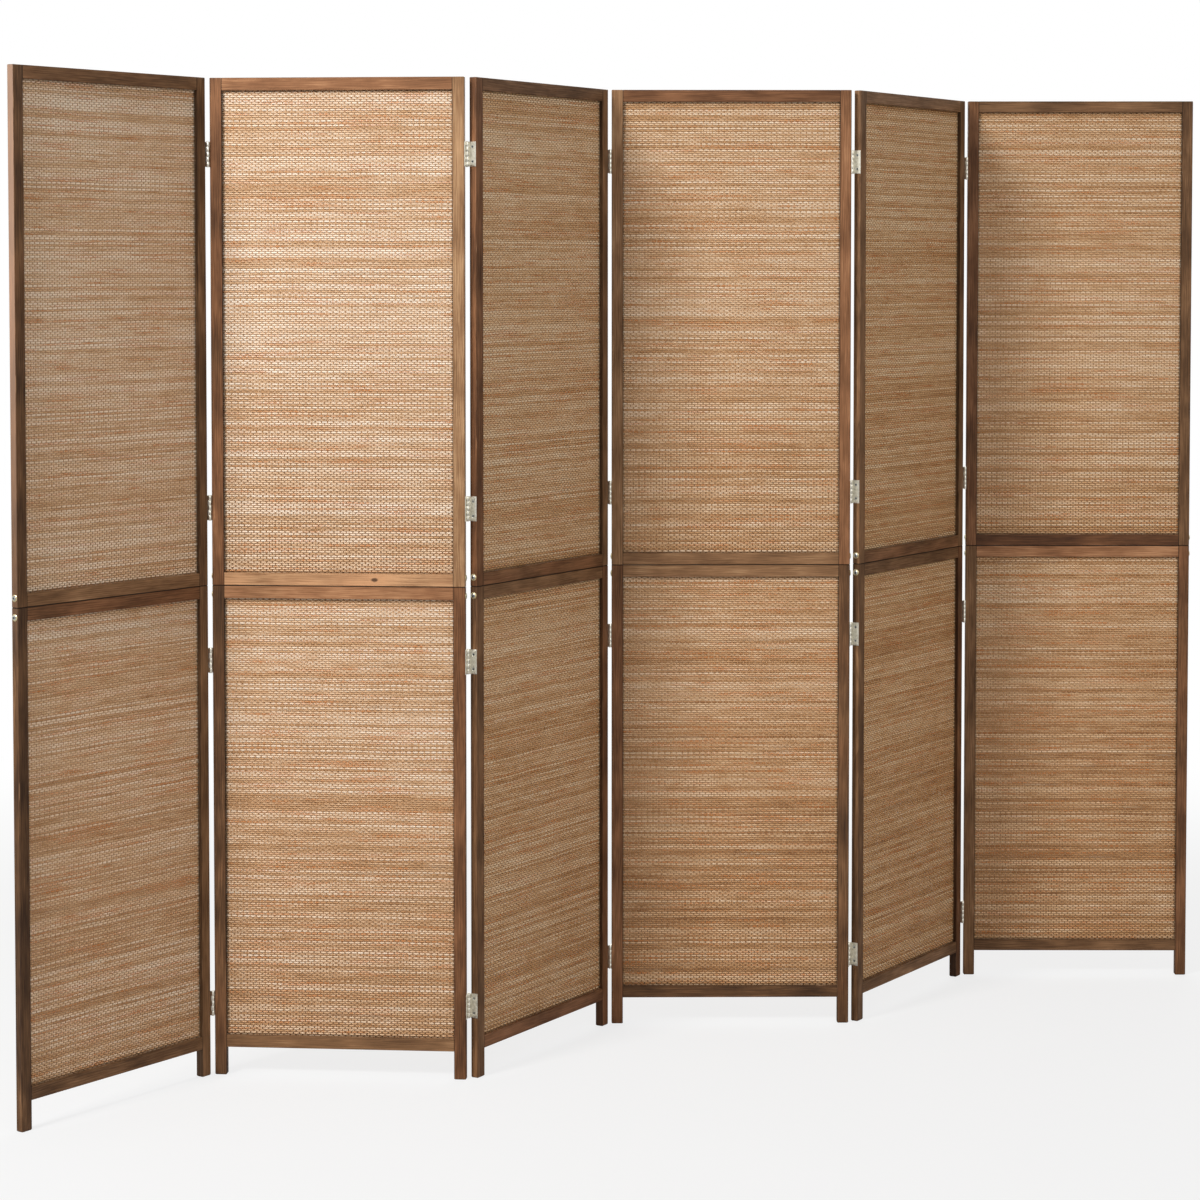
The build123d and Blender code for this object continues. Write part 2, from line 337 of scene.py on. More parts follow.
def solids_of(node, place):
    """(lowest, highest) corner in a panel's frame of each separate solid of a CAD node."""
    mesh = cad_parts[node].data
    points = node_points(node, place)
    keys = np.unique(np.round(points / WELD_WITHIN), axis=0, return_inverse=True)[1].ravel()
    group = np.arange(keys.max() + 1)

    def root(item):
        while group[item] != item:
            group[item] = group[group[item]]
            item = group[item]
        return item

    for edge in mesh.edges:
        a, b = (root(keys[v]) for v in edge.vertices)
        group[a] = b
    roots = np.array([root(key) for key in keys])
    return [(points[roots == r].min(0), points[roots == r].max(0)) for r in np.unique(roots)]


def new_piece(name, points, faces, materials, place, smooth=True):
    """A mesh object made in a panel's frame and set at its place."""
    mesh = bpy.data.meshes.new(name)
    mesh.from_pydata([tuple(p) for p in points], [], faces)
    return placed(name, mesh, materials, place, smooth)


def placed(name, mesh, materials, place, smooth=True):
    for material in materials:
        mesh.materials.append(material)
    mesh.polygons.foreach_set("use_smooth", [smooth] * len(mesh.polygons))
    made = bpy.data.objects.new(name, mesh)
    bpy.context.scene.collection.objects.link(made)
    made.matrix_world = place
    return made


# Wood


class Timber(Shade):
    """The wood of a CAD node's two bars, each cut from a log of its own, and the grain along them."""

    def __init__(self, name, node, place, upright):
        super().__init__(name)
        axis = 0 if upright else 2
        bars = sorted(solids_of(node, place), key=lambda bar: bar[0][axis])
        middles = [float(low[axis] + high[axis]) / 2 for low, high in bars]
        self.half_width = float(bars[0][1][axis] - bars[0][0][axis]) / 2
        self.half_depth = float(bars[0][1][1])
        draw = np.random.default_rng(sum(map(ord, node)) + 100 * int(node[6]))
        self.tones = [BAR_TONES.get((node, bar), draw.uniform(*COMMON_TONE)) for bar in range(2)]
        self.reds = draw.uniform(0.0, 1.0, 2)
        shifts = draw.uniform(-3.0, 3.0, 2)
        self.piths = draw.uniform(*PITH_BESIDE, 2) * draw.choice((-1, 1), 2)

        self.x, self.y, self.z = self.split(self.place_in(place))
        across, along = (self.x, self.z) if upright else (self.z, self.x)
        self.second = self.math("GREATER_THAN", across, sum(middles) / 2)
        self.across = self.math("SUBTRACT", across, self.per_bar(middles))
        self.length = self.add(along, self.per_bar(shifts))

        self.late = self.late_wood()
        self.fibre = self.drawn_out(0.02, 2200.0, 3.0, 0.6)
        self.streak = self.drawn_out(0.035, 420.0, 2.0)
        self.blotch = self.drawn_out(0.28, 42.0, 3.0, 0.6)
        self.cloud = self.drawn_out(0.5, 11.0, 2.0)

    def per_bar(self, values):
        """The first value on the first bar, the second on the other."""
        return self.add(self.times(self.second, float(values[1] - values[0])), float(values[0]))

    def drawn_out(self, share, scale, detail, roughness=0.55):
        """A noise whose marks are longer along the bar than across it, by 1 / share."""
        at = self.vector(self.across, self.y, self.times(self.length, share))
        return self.noise(at, scale, detail, roughness)

    def late_wood(self):
        """The dark side of each growth ring, from 0 to 1."""
        drift_at = self.vector(self.times(self.across, 4.0), self.times(self.y, 4.0), self.length)
        wander = self.swing(self.noise(drift_at, 3.0, 3.0), PITH_WANDER)
        a = self.add(self.add(self.across, self.per_bar(self.piths)), wander)
        b = self.add(self.add(self.y, PITH_BEHIND), self.times(wander, 0.5))
        reach = self.math("SQRT", self.add(self.times(a, a), self.times(b, b)))
        ring = self.math("FRACT", self.math("DIVIDE", reach, RING_WIDTH))
        return self.math("POWER", ring, 2.6)


def stain(wood):
    """The stained colour of sound wood."""
    tone = wood.per_bar(wood.tones)
    grains = ((wood.streak, 0.62), (wood.fibre, 0.34), (wood.blotch, 0.72), (wood.cloud, 0.5))
    for grain, width in grains:
        tone = wood.add(tone, wood.swing(grain, width))
    tone = wood.add(tone, wood.times(wood.late, -0.13))
    colour = wood.ramp(
        tone,
        (0.0, linear(58, 39, 27)),
        (0.3, linear(98, 69, 47)),
        (0.6, linear(141, 104, 75)),
        (1.0, linear(200, 160, 124)),
    )
    red = wood.fit(wood.add(wood.per_bar(wood.reds), wood.swing(wood.cloud, 1.0)), 0.35, 0.9)
    reddish = wood.mix(1.0, colour, linear(255, 238, 224), "MULTIPLY")
    brownish = wood.mix(1.0, colour, linear(250, 250, 240), "MULTIPLY")
    return wood.mix(red, brownish, reddish)


def knots_and_cracks(wood, node, colour):
    """Small dark knots, drawn out along the grain, and seasoning cracks of a few centimetres."""
    cells_at = wood.vector(
        wood.times(wood.across, 1.6), wood.times(wood.y, 1.6), wood.times(wood.length, 0.55)
    )
    cells = wood.node("TexVoronoi", cells_at)
    cells.inputs["Scale"].default_value = 7.5
    core = wood.fit(cells.outputs["Distance"], 0.045, 0.012)
    colour = wood.mix(wood.times(core, 0.85), colour, linear(44, 30, 23))
    if node in KNOTS:
        knot_x, knot_z = KNOTS[node]
        off_x = wood.times(wood.math("SUBTRACT", wood.x, knot_x), 0.6)
        off = wood.vector(off_x, 0.0, wood.math("SUBTRACT", wood.across, knot_z))
        distance = wood.node("VectorMath", off, operation="LENGTH").outputs["Value"]
        core = wood.fit(distance, KNOT_RIM, KNOT_CORE)
        core = wood.times(core, wood.math("SUBTRACT", 1.0, wood.second))
        colour = wood.mix(wood.times(core, 0.85), colour, linear(52, 34, 24))
    thin = wood.fit(wood.drawn_out(0.03, 700.0, 1.0), 0.24, 0.2)
    crack = wood.times(thin, wood.fit(wood.cloud, 0.42, 0.5))
    return wood.mix(wood.times(crack, 0.7), colour, linear(48, 33, 25))


def wear_and_painted_light(wood, node, place, colour):
    """Stain and rubbing on the arrises, painted light on the first panel's free edge, dark lines at the
    joints that run on as painted shade along the stiles' inner edges, and painted shade at the seam.
    """
    outer, inner, seam = stile_lines(int(node[6]), place)
    from_side = wood.math("SUBTRACT", wood.half_width, wood.math("ABSOLUTE", wood.across))
    from_face = wood.math("SUBTRACT", wood.half_depth, wood.math("ABSOLUTE", wood.y))
    arris = wood.fit(wood.math("MAXIMUM", from_side, from_face), 0.4 * MM, 1.5 * MM, 1.0, 0.0)
    colour = wood.darker(colour, wood.times(arris, wood.fit(wood.blotch, 0.35, 0.6)), 0.34)
    rubbed = wood.times(arris, wood.fit(wood.drawn_out(0.1, 160.0, 2.0), 0.6, 0.7))
    colour = wood.mix(wood.times(rubbed, 0.5), colour, linear(176, 136, 102))

    # Painted light: the free edge face of the first panel, which faces the key lamp, is painted paler,
    # the more so towards its top
    if node.startswith("panel_1"):
        end_face = wood.fit(wood.times(wood.x, -1.0), outer - 0.5 * MM, outer - 0.1 * MM)
        painted_edge_light = wood.times(end_face, wood.fit(wood.z, 0.6, 1.5, 0.0, 0.5))
        colour = wood.mix(painted_edge_light, colour, linear(186, 152, 130))
    # A dark line where a rail meets a stile; on the stiles it runs down their whole inner edges beside
    # the mats as painted shade
    from_joint = wood.math("ABSOLUTE", wood.math("SUBTRACT", wood.math("ABSOLUTE", wood.x), inner))
    colour = wood.darker(colour, wood.fit(from_joint, 0.3 * MM, JOINT_LINE, 1.0, 0.0), 0.6)
    # Painted shade: the wood darkens at the seam, where the gap between the two frames lies in shadow
    from_seam = wood.math("ABSOLUTE", wood.math("SUBTRACT", wood.z, seam))
    return wood.darker(colour, wood.fit(from_seam, 0.5 * MM, SEAM_LINE, 1.0, 0.0), 0.8)


def stained_wood(name, node, place, upright):
    """Stained pine for the two bars of a CAD node."""
    wood = Timber(name, node, place, upright)
    colour = stain(wood)
    colour = knots_and_cracks(wood, node, colour)
    colour = wear_and_painted_light(wood, node, place, colour)
    if upright:
        normal = wood.split(wood.node("NewGeometry").outputs["True Normal"])
        end_grain = wood.fit(wood.math("ABSOLUTE", normal[2]), 0.8, 0.95)
        colour = wood.darker(colour, end_grain, 0.35)
    wood.set(Base_Color=colour, Specular_IOR_Level=0.16)
    wood.set(Roughness=wood.fit(wood.add(wood.streak, wood.blotch), 0.7, 1.3, 0.6, 0.44))
    wood.bump(wood.add(wood.times(wood.fibre, 0.7), wood.times(wood.late, -0.4)), 0.1 * MM, 0.5)
    return wood.material


def bare_wood():
    """The hidden pegs: pale beech with a fine straight fibre."""
    shade = Shade("peg_wood_bare")
    x, y, z = shade.split(shade.place_in(None))
    fibre = shade.noise(shade.vector(x, y, shade.times(z, 0.03)), 1600.0, 3.0, 0.6)
    colour = shade.ramp(
        shade.fit(fibre, 0.3, 0.7), (0.0, linear(178, 138, 96)), (1.0, linear(216, 182, 138))
    )
    shade.set(Base_Color=colour, Roughness=shade.fit(fibre, 0.3, 0.7, 0.6, 0.72))
    shade.bump(fibre, 0.1 * MM, 0.4)
    return shade.material


# Metal


def plated_steel(name, light, dark, stain, brushed_along_z=False):
    """Plated steel: fine brush marks, cloudy plating and a faint stain."""
    shade = Shade(name)
    x, y, z = shade.split(shade.place_in(None))
    if brushed_along_z:
        brush_at = shade.vector(x, y, shade.times(z, 0.03))
    else:
        brush_at = shade.vector(x, y, z)
    brush = shade.noise(brush_at, 3000.0, 3.0, 0.65)
    cloud = shade.noise(shade.vector(x, y, z), 190.0, 3.0, 0.6)
    colour = shade.mix(shade.fit(cloud, 0.35, 0.68), light, dark)
    spots = shade.fit(shade.noise(shade.vector(x, y, z), 620.0, 2.0), 0.62, 0.74)
    colour = shade.mix(shade.times(spots, 0.45), colour, stain)
    rough = shade.add(shade.times(brush, 0.22), shade.times(cloud, 0.16))
    shade.set(Base_Color=colour, Metallic=1.0, Roughness=shade.add(rough, 0.12))
    shade.bump(brush, 0.02 * MM, 0.35)
    return shade.material


# Wickerwork


def bamboo_strand(name, panel, place):
    """Flat bamboo strands: each its own shade, with fibres, rusty skins and bleached lengths."""
    shade = Shade(name)
    x, y, z = shade.split(shade.place_in(None))
    key = shade.node("Attribute", attribute_name=KEY_NAME).outputs["Fac"]
    own = shade.math("FRACT", shade.times(key, 7.31))

    # A strand's shade holds for a hand's breadth, then its next length comes in
    run = shade.noise(shade.vector(shade.times(x, 1.2), shade.times(key, 40.0), 0.0), 11.0, 2.0, 0.6)
    skin = shade.noise(shade.vector(shade.times(x, 0.6), shade.times(key, 63.0), 4.0), 11.0, 1.0)
    fibre_at = shade.vector(shade.times(x, 0.03), y, shade.add(z, key))
    fibre = shade.noise(fibre_at, 1100.0, 3.0, 0.62)
    band_at = shade.vector(shade.times(x, 0.22), 0.0, shade.add(z, 3.0 * panel))
    band = shade.noise(band_at, 17.0, 3.0, 0.6)

    tone = shade.swing(fibre, 1.5)
    for part, width in ((run, 0.62), (own, 0.42), (band, 0.4)):
        tone = shade.add(tone, shade.swing(part, width))
    # Painted shade: the bamboo is made darker towards the floor and a little paler high up, for the light
    # falling off downwards
    tone = shade.add(tone, shade.fit(z, 0.2, 1.4, -0.13, 0.03))
    colour = shade.ramp(
        shade.add(tone, BLEACHED[panel]),
        (0.0, linear(134, 92, 58)),
        (0.35, linear(190, 146, 102)),
        (0.65, linear(224, 191, 156)),
        (1.0, linear(245, 228, 208)),
    )
    rusty = shade.times(shade.fit(skin, 0.53, 0.64), shade.fit(fibre, 0.56, 0.42))
    colour = shade.mix(shade.times(rusty, 0.8), colour, linear(198, 124, 68))
    grey = shade.times(shade.fit(skin, 0.36, 0.28), shade.fit(fibre, 0.4, 0.6))
    colour = shade.mix(shade.times(grey, 0.5), colour, linear(206, 192, 172))
    # Painted shade: the top and bottom edges of every strand turn dark orange-brown, for the shadow in
    # the gaps between strands
    edge = shade.node("Attribute", attribute_name=EDGE_NAME).outputs["Fac"]
    colour = shade.mix(shade.fit(edge, 0.5, 1.0, 0.0, 0.42), colour, linear(146, 92, 52))
    warm = shade.mix(1.0, colour, linear(255, 243, 218), "MULTIPLY")
    colour = shade.mix(WARMTH[panel], colour, warm)

    # Dirt and painted shade: the strands darken where the mat meets its stiles and rails
    inner = stile_lines(panel, place)[1]
    nearest = shade.math("SUBTRACT", inner, shade.math("ABSOLUTE", x))
    for edge in mat_edges(panel, place):
        gap = shade.math("ABSOLUTE", shade.math("SUBTRACT", z, edge))
        nearest = shade.math("MINIMUM", nearest, gap)
    colour = shade.darker(colour, shade.fit(nearest, 0.4 * MM, EDGE_LINE, 1.0, 0.0), 0.5)
    shade.set(Base_Color=colour, Specular_IOR_Level=0.2)
    shade.set(Roughness=shade.fit(fibre, 0.3, 0.7, 0.64, 0.5))
    shade.bump(fibre, 0.12 * MM, 0.6)
    return shade.material


def stake_bamboo():
    """The upright stakes: thin darker bamboo, seen where a strand passes behind."""
    shade = Shade("bamboo_stake")
    x, y, z = shade.split(shade.place_in(None))
    fibre = shade.noise(shade.vector(x, y, shade.times(z, 0.04)), 1500.0, 3.0, 0.6)
    colour = shade.ramp(
        shade.fit(fibre, 0.3, 0.7), (0.0, linear(154, 114, 78)), (1.0, linear(200, 158, 116))
    )
    shade.set(Base_Color=colour, Roughness=shade.fit(fibre, 0.3, 0.7, 0.7, 0.55))
    shade.bump(fibre, 0.08 * MM, 0.5)
    return shade.material


def tube_faces(tubes, stations, sides):
    """The four-cornered faces of tubes, whose points run tube by tube and ring by ring, and their
    corners' places on a map with a band for each tube: along it from 0 to 1, round it from 0 to 1.
    """
    here = np.arange(sides)
    after = (here + 1) % sides
    step = np.arange(stations - 1)[:, None] * sides
    walls = np.stack([step + here, step + after, step + sides + after, step + sides + here], -1)
    along = np.arange(stations - 1)[:, None] / (stations - 1) * END_PATCH + 0 * here
    ahead = along + END_PATCH / (stations - 1)
    low, high = here / sides + 0 * along, (here + 1) / sides + 0 * along
    corners = ((along, low), (along, high), (ahead, high), (ahead, low))
    wall_map = np.stack([np.stack(pair, -1) for pair in corners], -2)

    # An end is closed by a ladder of faces, each with a patch of its own past the walls
    rung = np.arange(sides // 2 - 1)
    ladder = np.stack([rung, rung + 1, sides - 2 - rung, sides - 1 - rung], -1)
    last = (stations - 1) * sides
    faces = np.concatenate([walls.reshape(-1, 4), ladder[:, ::-1], ladder + last])
    maps = [wall_map.reshape(-1, 4, 2)]
    for start in (END_PATCH + 0.01, (1 + END_PATCH) / 2 + 0.005):
        left, right = start + 0 * rung, start + (1 - END_PATCH) / 2 - 0.01 + 0 * rung
        low, high = rung / len(rung), (rung + 0.9) / len(rung)
        corners = ((left, low), (right, low), (right, high), (left, high))
        maps.append(np.stack([np.stack(pair, -1) for pair in corners], -2))
    number = np.arange(tubes)
    faces = faces[None] + number[:, None, None] * stations * sides
    places = np.repeat(np.concatenate(maps)[None], tubes, 0)
    places[..., 1] = number[:, None, None] + BAND_MARGIN + (1 - 2 * BAND_MARGIN) * places[..., 1]
    return faces.reshape(-1, 4), places.reshape(-1, 4, 2)


def strand_points(low, high, stakes_x, draw):
    """Rings of four points along every strand, at each stake and at both edges of the mat."""
    width, height = high[0] - low[0], high[2] - low[2]
    count = round(height / STRAND_PITCH)
    pitches = 1 + STRAND_UNEVEN * draw.uniform(-1, 1, count)
    pitches *= height / pitches.sum()
    middles = low[2] + np.cumsum(pitches) - pitches / 2
    x = np.concatenate([[low[0]], stakes_x, [high[0]]])

    # Neighbouring strands drift up and down together, and stay put at the mat's ends
    phase = draw.uniform(0, 2 * np.pi, 4)
    across = (x - low[0]) / width
    up = (middles - low[2])[:, None] / height
    wave = np.sin(5.1 * np.pi * across + phase[0]) * np.sin(7 * np.pi * up + phase[1])
    wave = wave + np.sin(2.3 * np.pi * across + phase[2]) * np.cos(3 * np.pi * up + phase[3])
    drift = STRAND_DRIFT / 2 * wave * np.minimum(1, 12 * up * (1 - up))

    side = np.where((np.arange(count)[:, None] + np.arange(len(x))) % 2, 1.0, -1.0)
    side[:, 0] = side[:, -1] = 0.0
    y = STRAND_SWING * side * draw.uniform(0.62, 1.0, side.shape)
    z = middles[:, None] + drift
    half_height = pitches[:, None] / 2 * STRAND_FILL * draw.uniform(0.9, 1.0, side.shape)
    half_depth = STRAND_THICKNESS / 2 * draw.uniform(0.88, 1.0, side.shape)
    rings = np.zeros(side.shape + (STRAND_SIDES, 3))
    rings[..., 0] = x[:, None]
    rings[..., 1] = y[..., None]
    rings[..., 2] = z[..., None]
    rings[..., 0, 2] -= half_height
    rings[..., 1, 1] -= half_depth
    rings[..., 2, 2] += half_height
    rings[..., 3, 1] += half_depth
    return rings


def stake_points(low, high, stakes_x):
    """Two rings of points on every stake."""
    angle = 2 * np.pi * np.arange(STAKE_SIDES) / STAKE_SIDES
    rings = np.zeros((len(stakes_x), 2, STAKE_SIDES, 3))
    rings[..., 0] = stakes_x[:, None, None] - STAKE_WIDTH / 2 * np.cos(angle)
    rings[..., 1] = STAKE_THICKNESS / 2 * np.sin(angle)
    rings[:, 0, :, 2], rings[:, 1, :, 2] = low[2], high[2]
    return rings


def wickerwork(name, low, high, seed, materials, place):
    """A mat of straight stakes and flat strands, with a map that gives each of them its own band."""
    draw = np.random.default_rng(seed)
    count = round((high[0] - low[0]) / STAKE_PITCH)
    stakes_x = low[0] + (np.arange(count) + 0.5) * (high[0] - low[0]) / count
    stakes_x = stakes_x + STAKE_UNEVEN * draw.uniform(-1, 1, count)
    groups = [strand_points(low, high, stakes_x, draw), stake_points(low, high, stakes_x)]
    points, faces, places, keys, edges, kinds = [], [], [], [], [], []
    point_count = band_count = 0
    for kind, rings in enumerate(groups):
        tubes, stations, sides = rings.shape[:3]
        made, made_places = tube_faces(tubes, stations, sides)
        points.append(rings.reshape(-1, 3))
        faces.append(made + point_count)
        places.append(made_places + (0, band_count))
        keys.append(np.repeat(draw.uniform(0, 1, tubes), stations * sides))
        # The strands' top and bottom points are marked for the painted shade between strands
        at_edge = np.arange(sides) % 2 == 0 if kind == 0 else np.zeros(sides)
        edges.append(np.tile(at_edge, tubes * stations))
        kinds.append(np.full(len(made), kind))
        point_count += len(points[-1])
        band_count += tubes
    places = np.concatenate(places) / (1, band_count)
    mesh = mesh_of_quads(name, np.concatenate(points), np.concatenate(faces))
    made = placed(name, mesh, materials, place)
    mesh.polygons.foreach_set("material_index", np.concatenate(kinds).astype(np.int32))
    key = mesh.attributes.new(KEY_NAME, "FLOAT", "POINT")
    key.data.foreach_set("value", np.concatenate(keys).astype(np.float32))
    edge = mesh.attributes.new(EDGE_NAME, "FLOAT", "POINT")
    edge.data.foreach_set("value", np.concatenate(edges).astype(np.float32))
    mesh.uv_layers.new(name=MAP_NAME).data.foreach_set("uv", places.astype(np.float32).ravel())
    return made


def mesh_of_quads(name, points, quads):
    mesh = bpy.data.meshes.new(name)
    mesh.vertices.add(len(points))
    mesh.vertices.foreach_set("co", points.astype(np.float32).ravel())
    mesh.loops.add(quads.size)
    mesh.loops.foreach_set("vertex_index", quads.astype(np.int32).ravel())
    mesh.polygons.add(len(quads))
    mesh.polygons.foreach_set("loop_start", np.arange(0, quads.size, 4, dtype=np.int32))
    mesh.update(calc_edges=True)
    return mesh


# Screws and washers


def turned(profile):
    """Rings of points round Z from (radius, height) corners, and the faces between them."""
    angles = 2 * np.pi * np.arange(ROUND_SIDES) / ROUND_SIDES
    points, faces = [], []
    for radius, height in profile:
        points += [(radius * math.cos(a), radius * math.sin(a), height) for a in angles]
    for ring in range(len(profile) - 1):
        here, above = ring * ROUND_SIDES, (ring + 1) * ROUND_SIDES
        faces += ring_walls(here, above)
    return points, faces


def ring_walls(lower, upper):
    """The faces between two rings of points, given the number of each ring's first point."""
    following = [(k + 1) % ROUND_SIDES for k in range(ROUND_SIDES)]
    return [(lower + k, lower + after, upper + after, upper + k) for k, after in enumerate(following)]


# What a face of a screw or washer is made of, by the order of the materials on the piece
HEAD, RECESS, WASHER = range(3)


def recess_outline(head_radius):
    """The corners of the cross recess, anticlockwise."""
    reach, half = RECESS_REACH * head_radius, RECESS_HALF_WIDTH * head_radius
    corners = []
    for quarter in range(4):
        cos, sin = math.cos(quarter * math.pi / 2), math.sin(quarter * math.pi / 2)
        for px, py in ((reach, -half), (reach, half), (half, half)):
            corners.append((px * cos - py * sin, px * sin + py * cos))
    return corners


def screw_mesh(profile, dome):
    """A screw turned from its profile, its last ring being the head's rim, with a cross recess."""
    points, faces = turned(profile)
    sides = ROUND_SIDES
    rim_radius, rim_height = profile[-1]
    tip = len(points)
    points.append((0, 0, profile[0][1]))
    faces += [(tip, (k + 1) % sides, k) for k in range(sides)]

    def top(radius):
        return rim_height + dome * (1 - (radius / rim_radius) ** 2)

    rim = (len(profile) - 1) * sides
    for share in HEAD_RINGS:
        base = len(points)
        radius = rim_radius * share
        for k in range(sides):
            a = 2 * math.pi * k / sides
            points.append((radius * math.cos(a), radius * math.sin(a), top(radius)))
        faces += ring_walls(rim, base)
        rim = base

    corners = recess_outline(rim_radius)
    lip = len(points)
    points += [(cx, cy, top(math.hypot(cx, cy))) for cx, cy in corners]
    floor = len(points)
    depth = RECESS_DEPTH * rim_radius
    points += [(cx * RECESS_TAPER, cy * RECESS_TAPER, rim_height + dome - depth) for cx, cy in corners]
    bottom = len(points)
    points.append((0, 0, rim_height + dome - depth * RECESS_POINT))
    count = len(corners)
    first_recess = len(faces)
    for k in range(count):
        after = (k + 1) % count
        faces.append((lip + k, lip + after, floor + after, floor + k))
        faces.append((floor + k, floor + after, bottom))
    recess = range(first_recess, len(faces))

    # The head's top from the inner ring to the recess: each rim point joins the nearest corner
    def corner_for(k):
        a = 2 * math.pi * k / sides
        gaps = [abs((math.atan2(cy, cx) - a + math.pi) % (2 * math.pi) - math.pi) for cx, cy in corners]
        return int(np.argmin(gaps))

    nearest = [corner_for(k) for k in range(sides)]
    for k in range(sides):
        here, there = nearest[k], nearest[(k + 1) % sides]
        faces.append((rim + k, rim + (k + 1) % sides, lip + here))
        while here != there:
            following = (here + 1) % count
            faces.append((rim + (k + 1) % sides, lip + following, lip + here))
            here = following
    kinds = [RECESS if number in recess else HEAD for number in range(len(faces))]
    return points, faces, kinds


def raised_screw(radius, length):
    """A seam screw: a round shank, a cone and a raised head."""
    shank = radius * RAISED_SHANK_SHARE
    rim = length - RAISED_DOME
    profile = [
        (POINT_RADIUS, 0),
        (shank, POINT_LENGTH),
        (shank, rim - RAISED_CONE),
        (radius * RAISED_RIM_SHARE, rim - RAISED_RIM_HEIGHT),
        (radius, rim),
    ]
    return screw_mesh(profile, RAISED_DOME)


def flat_screw(radius, length):
    """A hinge screw: countersunk, with a head that is almost flat."""
    shank = radius * FLAT_SHANK_SHARE
    rim = length - FLAT_DOME
    profile = [
        (POINT_RADIUS, 0),
        (shank, POINT_LENGTH),
        (shank, rim - (radius - shank)),
        (radius, rim),
    ]
    return screw_mesh(profile, FLAT_DOME)


def washer_mesh(radius, height):
    """A dished washer with a flat brim and a rolled lip."""
    hole = radius * WASHER_HOLE
    brim = height * WASHER_BRIM
    profile = [
        (hole, 0.0),
        (radius - brim * 0.4, 0.0),
        (radius, brim * 0.4),
        (radius, brim),
        (radius * 0.965, brim * 1.5),
        (radius * 0.86, height * 0.72),
        (radius * 0.78, height * 0.95),
        (radius * 0.72, height),
        (radius * 0.66, height * 0.93),
        (hole + WASHER_INNER_LIP, height * 0.25),
    ]
    points, faces = turned(profile)
    faces += ring_walls((len(profile) - 1) * ROUND_SIDES, 0)
    return points, faces, [WASHER] * len(faces)


def fixings(panel, materials, place):
    """The panel's screws and washers, each made at the place and to the size of its CAD solid."""
    points, faces, kinds = [], [], []
    draw = np.random.default_rng(SCREW_SEED + panel)
    for low, high in solids_of(f"panel_{panel}_fixings", place):
        middle, size = (low + high) / 2, high - low
        radius, length = max(size[1], size[2]) / 2, size[0]
        if length < radius:
            made, made_faces, made_kinds = washer_mesh(radius, length)
        elif radius > RAISED_HEAD_FROM:
            made, made_faces, made_kinds = raised_screw(radius, length)
        else:
            made, made_faces, made_kinds = flat_screw(radius, length)
        outward = 1.0 if middle[0] > 0 else -1.0
        outer = high[0] if outward > 0 else low[0]
        spin = Matrix.Rotation(draw.uniform(0, math.pi / 2), 4, "Z")
        lower = Matrix.Translation((0, 0, -length))
        point_out = Matrix.Rotation(outward * math.pi / 2, 4, "Y")
        seat = Matrix.Translation((outer, middle[1], middle[2])) @ point_out @ lower @ spin
        base = len(points)
        points += [tuple(seat @ Vector(p)) for p in made]
        faces += [tuple(base + v for v in face) for face in made_faces]
        kinds += made_kinds

    # Made in the room's frame, so that its box is as tight as the CAD's
    points = [place @ Vector(point) for point in points]
    made = new_piece(f"panel_{panel}_screws", points, faces, materials, Matrix.Identity(4))
    made.data.polygons.foreach_set("material_index", np.array(kinds, dtype=np.int32))
    made.data.set_sharp_from_angle(angle=SHARP_FROM)
    return made


# The CAD nodes that stay as they are


def soften(node, arris):
    """Eases a CAD solid's arrises, within its own surface."""
    weld = node.modifiers.new("weld", "WELD")
    weld.merge_threshold = WELD_WITHIN
    bevel = node.modifiers.new("arris", "BEVEL")
    bevel.width = arris
    bevel.segments = 2
    bevel.limit_method = "ANGLE"
    bevel.angle_limit = BEVEL_FROM
    bevel.harden_normals = True


def dress(node_name, material, arris=None):
    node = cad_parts[node_name]
    for index in range(len(node.material_slots)):
        node.material_slots[index].material = material
    if arris:
        soften(node, arris)


# Studio


def studio():
    scene = bpy.context.scene
    scene.view_settings.view_transform = "Standard"
    camera = bpy.data.objects.new("camera", bpy.data.cameras.new("camera"))
    camera.data.lens = LENS
    camera.data.sensor_width = SENSOR
    camera.data.shift_y = LENS_SHIFT
    camera.location = CAMERA_AT
    camera.rotation_euler = (math.radians(90 + CAMERA_PITCH), 0, math.radians(CAMERA_TURN))
    scene.collection.objects.link(camera)
    scene.camera = camera

    white_world(scene)
    lamp("key", KEY_AT, KEY_AIM, KEY_SIZE, KEY_WATTS)
    lamp("fill", FILL_AT, FILL_AIM, SOFT_SIZE, FILL_WATTS)
    lamp("back", BACK_AT, BACK_AIM, SOFT_SIZE, BACK_WATTS)
    floor()


def white_world(scene):
    """A white backdrop for what is seen and mirrored, and a soft even light for the rest."""
    world = bpy.data.worlds.new("studio")
    scene.world = world
    world.use_nodes = True
    tree = world.node_tree
    background = tree.nodes["Background"]
    background.inputs["Color"].default_value = (1, 1, 1, 1)
    path = tree.nodes.new("ShaderNodeLightPath")
    seen = tree.nodes.new("ShaderNodeMath")
    seen.operation = "MAXIMUM"
    tree.links.new(path.outputs["Is Camera Ray"], seen.inputs[0])
    tree.links.new(path.outputs["Is Glossy Ray"], seen.inputs[1])
    through = tree.nodes.new("ShaderNodeMath")
    through.operation = "MAXIMUM"
    tree.links.new(seen.outputs[0], through.inputs[0])
    tree.links.new(path.outputs["Is Transmission Ray"], through.inputs[1])
    strength = tree.nodes.new("ShaderNodeMapRange")
    tree.links.new(through.outputs[0], strength.inputs["Value"])
    strength.inputs["To Min"].default_value = SKY_LIGHT
    strength.inputs["To Max"].default_value = 1.0
    tree.links.new(strength.outputs[0], background.inputs["Strength"])


def lamp(name, at, aim, size, watts):
    data = bpy.data.lights.new(name, "AREA")
    data.size = size
    data.energy = watts
    made = bpy.data.objects.new(name, data)
    made.location = at
    made.rotation_euler = (Vector(aim) - Vector(at)).to_track_quat("-Z", "Y").to_euler()
    bpy.context.scene.collection.objects.link(made)


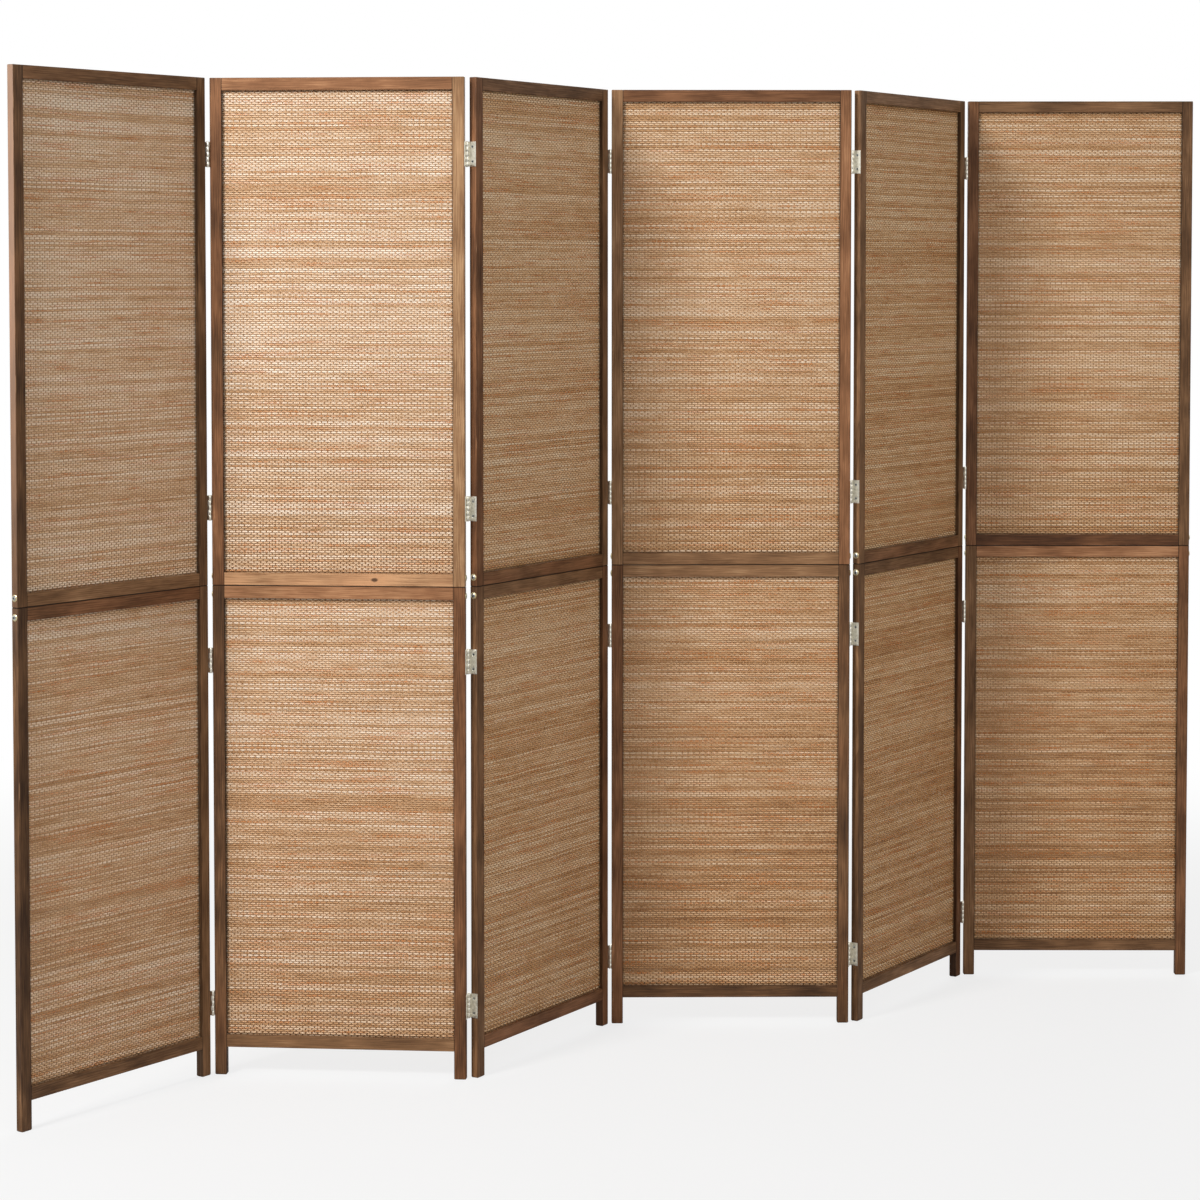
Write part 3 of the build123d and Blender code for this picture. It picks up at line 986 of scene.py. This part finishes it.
def floor():
    """A pale floor that takes the screen's shadow and fades to the backdrop's white for the eye."""
    shade = Shade("studio_floor")
    point = shade.node("TexCoord").outputs["Object"]
    grain = shade.noise(point, 3.0, 3.0)
    colour = shade.mix(grain, FLOOR_DARK, FLOOR_PALE)
    shade.set(Base_Color=colour, Roughness=0.9, Specular_IOR_Level=0.0)
    distance = shade.node("VectorMath", point, operation="LENGTH").outputs["Value"]
    white = shade.fit(distance, FLOOR_NEAR, FLOOR_FAR, FLOOR_WHITE, 1.0)
    seen = shade.node("LightPath").outputs["Is Camera Ray"]
    glow = shade.node("Emission", (1, 1, 1, 1), 1.0).outputs[0]
    both = shade.node("MixShader", shade.times(white, seen), shade.shader.outputs[0], glow)
    shade.tree.links.new(both.outputs[0], shade.tree.nodes["Material Output"].inputs["Surface"])
    half = FLOOR_HALF
    corners = [(-half, -half, 0), (half, -half, 0), (half, half, 0), (-half, half, 0)]
    made = new_piece("floor", corners, [(0, 1, 2, 3)], [shade.material], Matrix.Identity(4), False)


def dress_panel(panel, metal, fixing_metals, pegs, stakes):
    place = panel_place(panel)
    body = f"panel_{panel}"
    strands = bamboo_strand(f"bamboo_strand_{panel}", panel, place)
    for tier in TIERS:
        for kind, upright in (("stile", True), ("rail", False)):
            node = f"{body}_{tier}_{kind}s"
            wood = stained_wood(f"{kind}_wood_{panel}_{tier}", node, place, upright)
            dress(node, wood, WOOD_ARRIS)
        low, high = node_limits(f"{body}_{tier}_mat", place)
        seed = 10 * panel + TIERS.index(tier)
        mat = wickerwork(f"{body}_{tier}_weave", low, high, seed, [strands, stakes], place)
        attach(mat, body)
        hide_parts(f"{body}_{tier}_mat")
    screws = fixings(panel, fixing_metals, place)
    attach(screws, body)
    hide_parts(f"{body}_fixings")
    dress(f"{body}_hinge_leaves", metal, METAL_ARRIS)
    dress(f"{body}_seam_pegs", pegs)
    if panel < PANELS[-1]:
        dress(f"fold_{panel}_{panel + 1}_pins", metal, METAL_ARRIS)


def main():
    metal = plated_steel(
        "hinge_steel",
        light=linear(240, 236, 224),
        dark=linear(212, 207, 192),
        stain=linear(150, 144, 124),
        brushed_along_z=True,
    )
    screw = plated_steel(
        "screw_steel", light=linear(206, 208, 206), dark=linear(150, 152, 150), stain=linear(104, 102, 94)
    )
    # Painted shade: the cross recesses get a dark steel that stands for the shadow inside them
    recess = plated_steel(
        "recess_painted_shade", light=linear(84, 80, 72), dark=linear(48, 44, 38), stain=linear(36, 30, 24)
    )
    washer = plated_steel(
        "washer_steel",
        light=linear(220, 206, 166),
        dark=linear(182, 164, 122),
        stain=linear(124, 104, 70),
    )
    fixing_metals = [screw, recess, washer]
    pegs = bare_wood()
    stakes = stake_bamboo()
    for panel in PANELS:
        dress_panel(panel, metal, fixing_metals, pegs, stakes)
    studio()


main()
